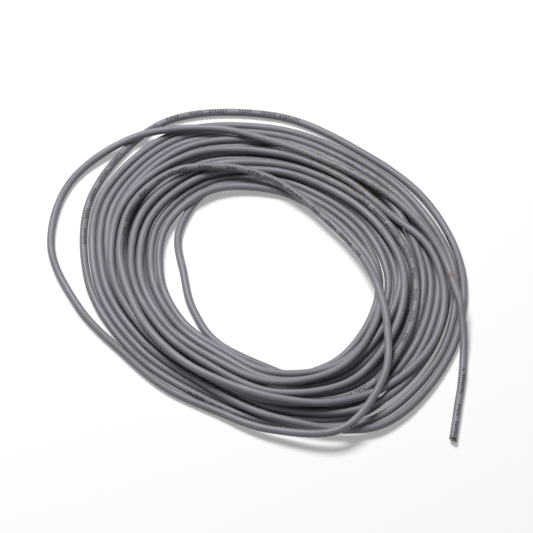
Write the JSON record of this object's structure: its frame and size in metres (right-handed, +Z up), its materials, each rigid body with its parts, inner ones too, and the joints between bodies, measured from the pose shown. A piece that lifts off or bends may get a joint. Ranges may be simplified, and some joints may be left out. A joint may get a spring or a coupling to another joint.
{
  "type": "folded two-core cable",
  "caption": "Loose hand-wound oval coil of round grey sheathed flexible cable lying flat, with a straight cut end beside it that shows its insulated cores and stranded conductors.",
  "frame": {"origin": "on the floor, under the middle of the box that the whole cable fills", "axes": "+Z up from the floor, +X along the longer way across, towards the side where the cut end lies, +Y away from the cut end's tip"},
  "size_m": [0.3094, 0.2966, 0.0253],
  "materials": {
    "sheath": "satin grey soft plastic, lightly scuffed and soiled",
    "core_insulation": "plain black soft plastic",
    "conductor": "bare stranded copper, cut and slightly dulled"
  },
  "bodies": {
    "root": {"cable_coil": "sheath", "sheath_end": "sheath", "core_1": "core_insulation", "core_2": "core_insulation", "conductor_1": "conductor", "conductor_2": "conductor"}
  },
  "joints": []
}
